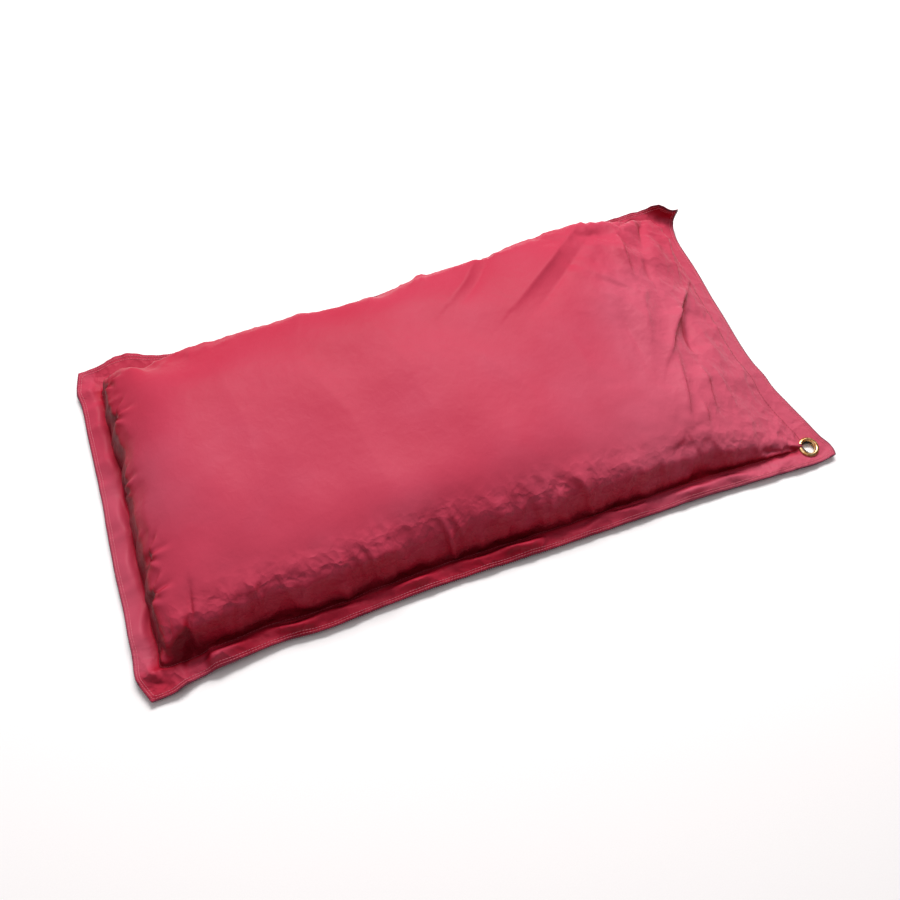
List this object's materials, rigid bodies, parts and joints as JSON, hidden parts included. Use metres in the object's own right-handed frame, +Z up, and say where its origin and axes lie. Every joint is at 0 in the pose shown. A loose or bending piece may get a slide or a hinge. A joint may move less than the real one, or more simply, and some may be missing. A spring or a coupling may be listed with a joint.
{
  "type": "camp quilt",
  "caption": "Unquilted camp quilt: coated-fabric covers sewn round a plump filled chamber, with a flat sewn flange on all sides and a brass corner grommet.",
  "frame": {"origin": "middle of the footprint, on the ground that the quilt lies on", "axes": "+Z up; +X along the length, towards the slack end with the grommet; +Y across the width, away from the grommet's side"},
  "size_m": [0.6991, 0.3515, 0.07],
  "materials": {
    "cover_fabric": "coated nylon taffeta, crimson, soft sheen",
    "base_fabric": "coated nylon taffeta, deep red, duller sheen",
    "batting": "lofted polyester batting, white, matt",
    "webbing": "woven polyester webbing, dark red, matt",
    "sewing_thread": "spun polyester thread, crimson",
    "overlock_thread": "textured polyester thread, dark plum",
    "brass": "lacquered golden brass, polished"
  },
  "bodies": {
    "root": {"top_cover": "cover_fabric", "bottom_cover": "base_fabric", "fill_lower_batt": "batting", "fill_upper_batt": "batting", "corner_patch": "webbing", "grommet_eyelet": "brass", "grommet_washer": "brass", "chamber_seam_needle_thread": "sewing_thread", "chamber_seam_bobbin_thread": "sewing_thread", "hem_outer_needle_thread": "sewing_thread", "hem_outer_bobbin_thread": "sewing_thread", "hem_inner_needle_thread": "sewing_thread", "hem_inner_bobbin_thread": "sewing_thread", "edge_overlock_thread": "overlock_thread"}
  },
  "joints": []
}
